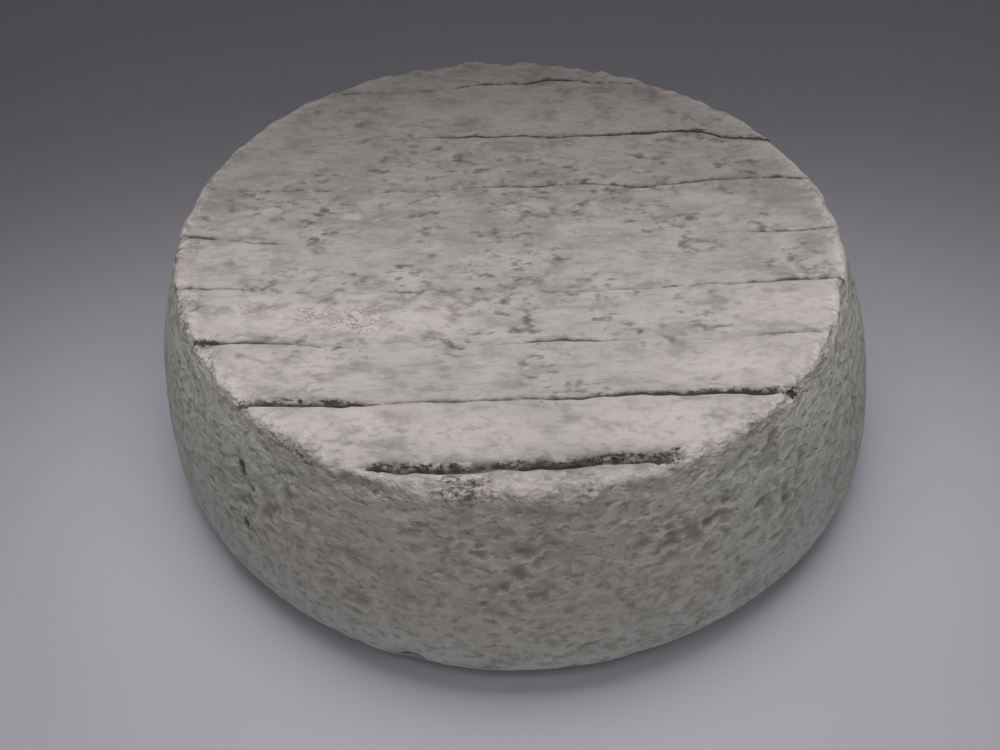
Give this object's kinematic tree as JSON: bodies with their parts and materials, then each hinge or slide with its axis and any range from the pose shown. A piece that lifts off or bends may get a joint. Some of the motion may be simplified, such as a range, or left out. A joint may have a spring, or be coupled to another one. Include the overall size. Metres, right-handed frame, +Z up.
{
  "type": "cheese wheel",
  "caption": "Round natural-rind pressed cheese with a low bulging side, a rounded underside edge and straight rack lines pressed into its flat faces.",
  "frame": {"origin": "middle of the bounding box, on the face that the wheel rests on", "axes": "+Z up, along the wheel's axis; +X runs along the rack lines of the top; the picture looks along +Y and down"},
  "size_m": [0.205, 0.1972, 0.0689],
  "materials": {
    "rind": "matte"
  },
  "bodies": {
    "root": {"cheese_wheel": "rind"}
  },
  "joints": []
}
